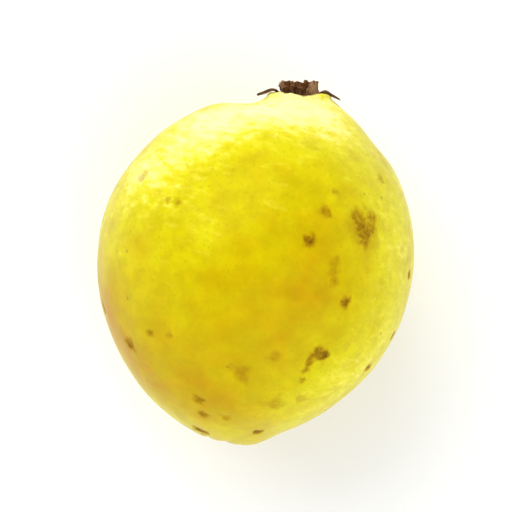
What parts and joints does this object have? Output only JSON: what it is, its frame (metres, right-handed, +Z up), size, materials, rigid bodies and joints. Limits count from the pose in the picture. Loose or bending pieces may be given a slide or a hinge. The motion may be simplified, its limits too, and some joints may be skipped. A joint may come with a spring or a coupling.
{
  "type": "guava",
  "caption": "Ripe yellow guava as picked, lying on its side: round-ovate fruit with dry sepals and stamens in a low collar and a stem stub in a dimple.",
  "frame": {"origin": "centre of the bounding box, on the surface that the fruit lies on", "axes": "+Z up, away from that surface; +Y towards the calyx end, along the fruit's own axis seen from above; +X to the right when the calyx end points away"},
  "size_m": [0.0458, 0.0542, 0.0455],
  "materials": {
    "skin": "waxy thin fruit skin, satin, finely dimpled, yellow with brown specks",
    "dry_calyx": "dried sepals, matt, dark brown",
    "dry_stamens": "dried stamens, matt, tan",
    "dry_stem": "dry stem, matt, brown"
  },
  "bodies": {
    "root": {"fruit": "skin", "calyx": "dry_calyx", "stamens": "dry_stamens", "stem_stub": "dry_stem"}
  },
  "joints": []
}
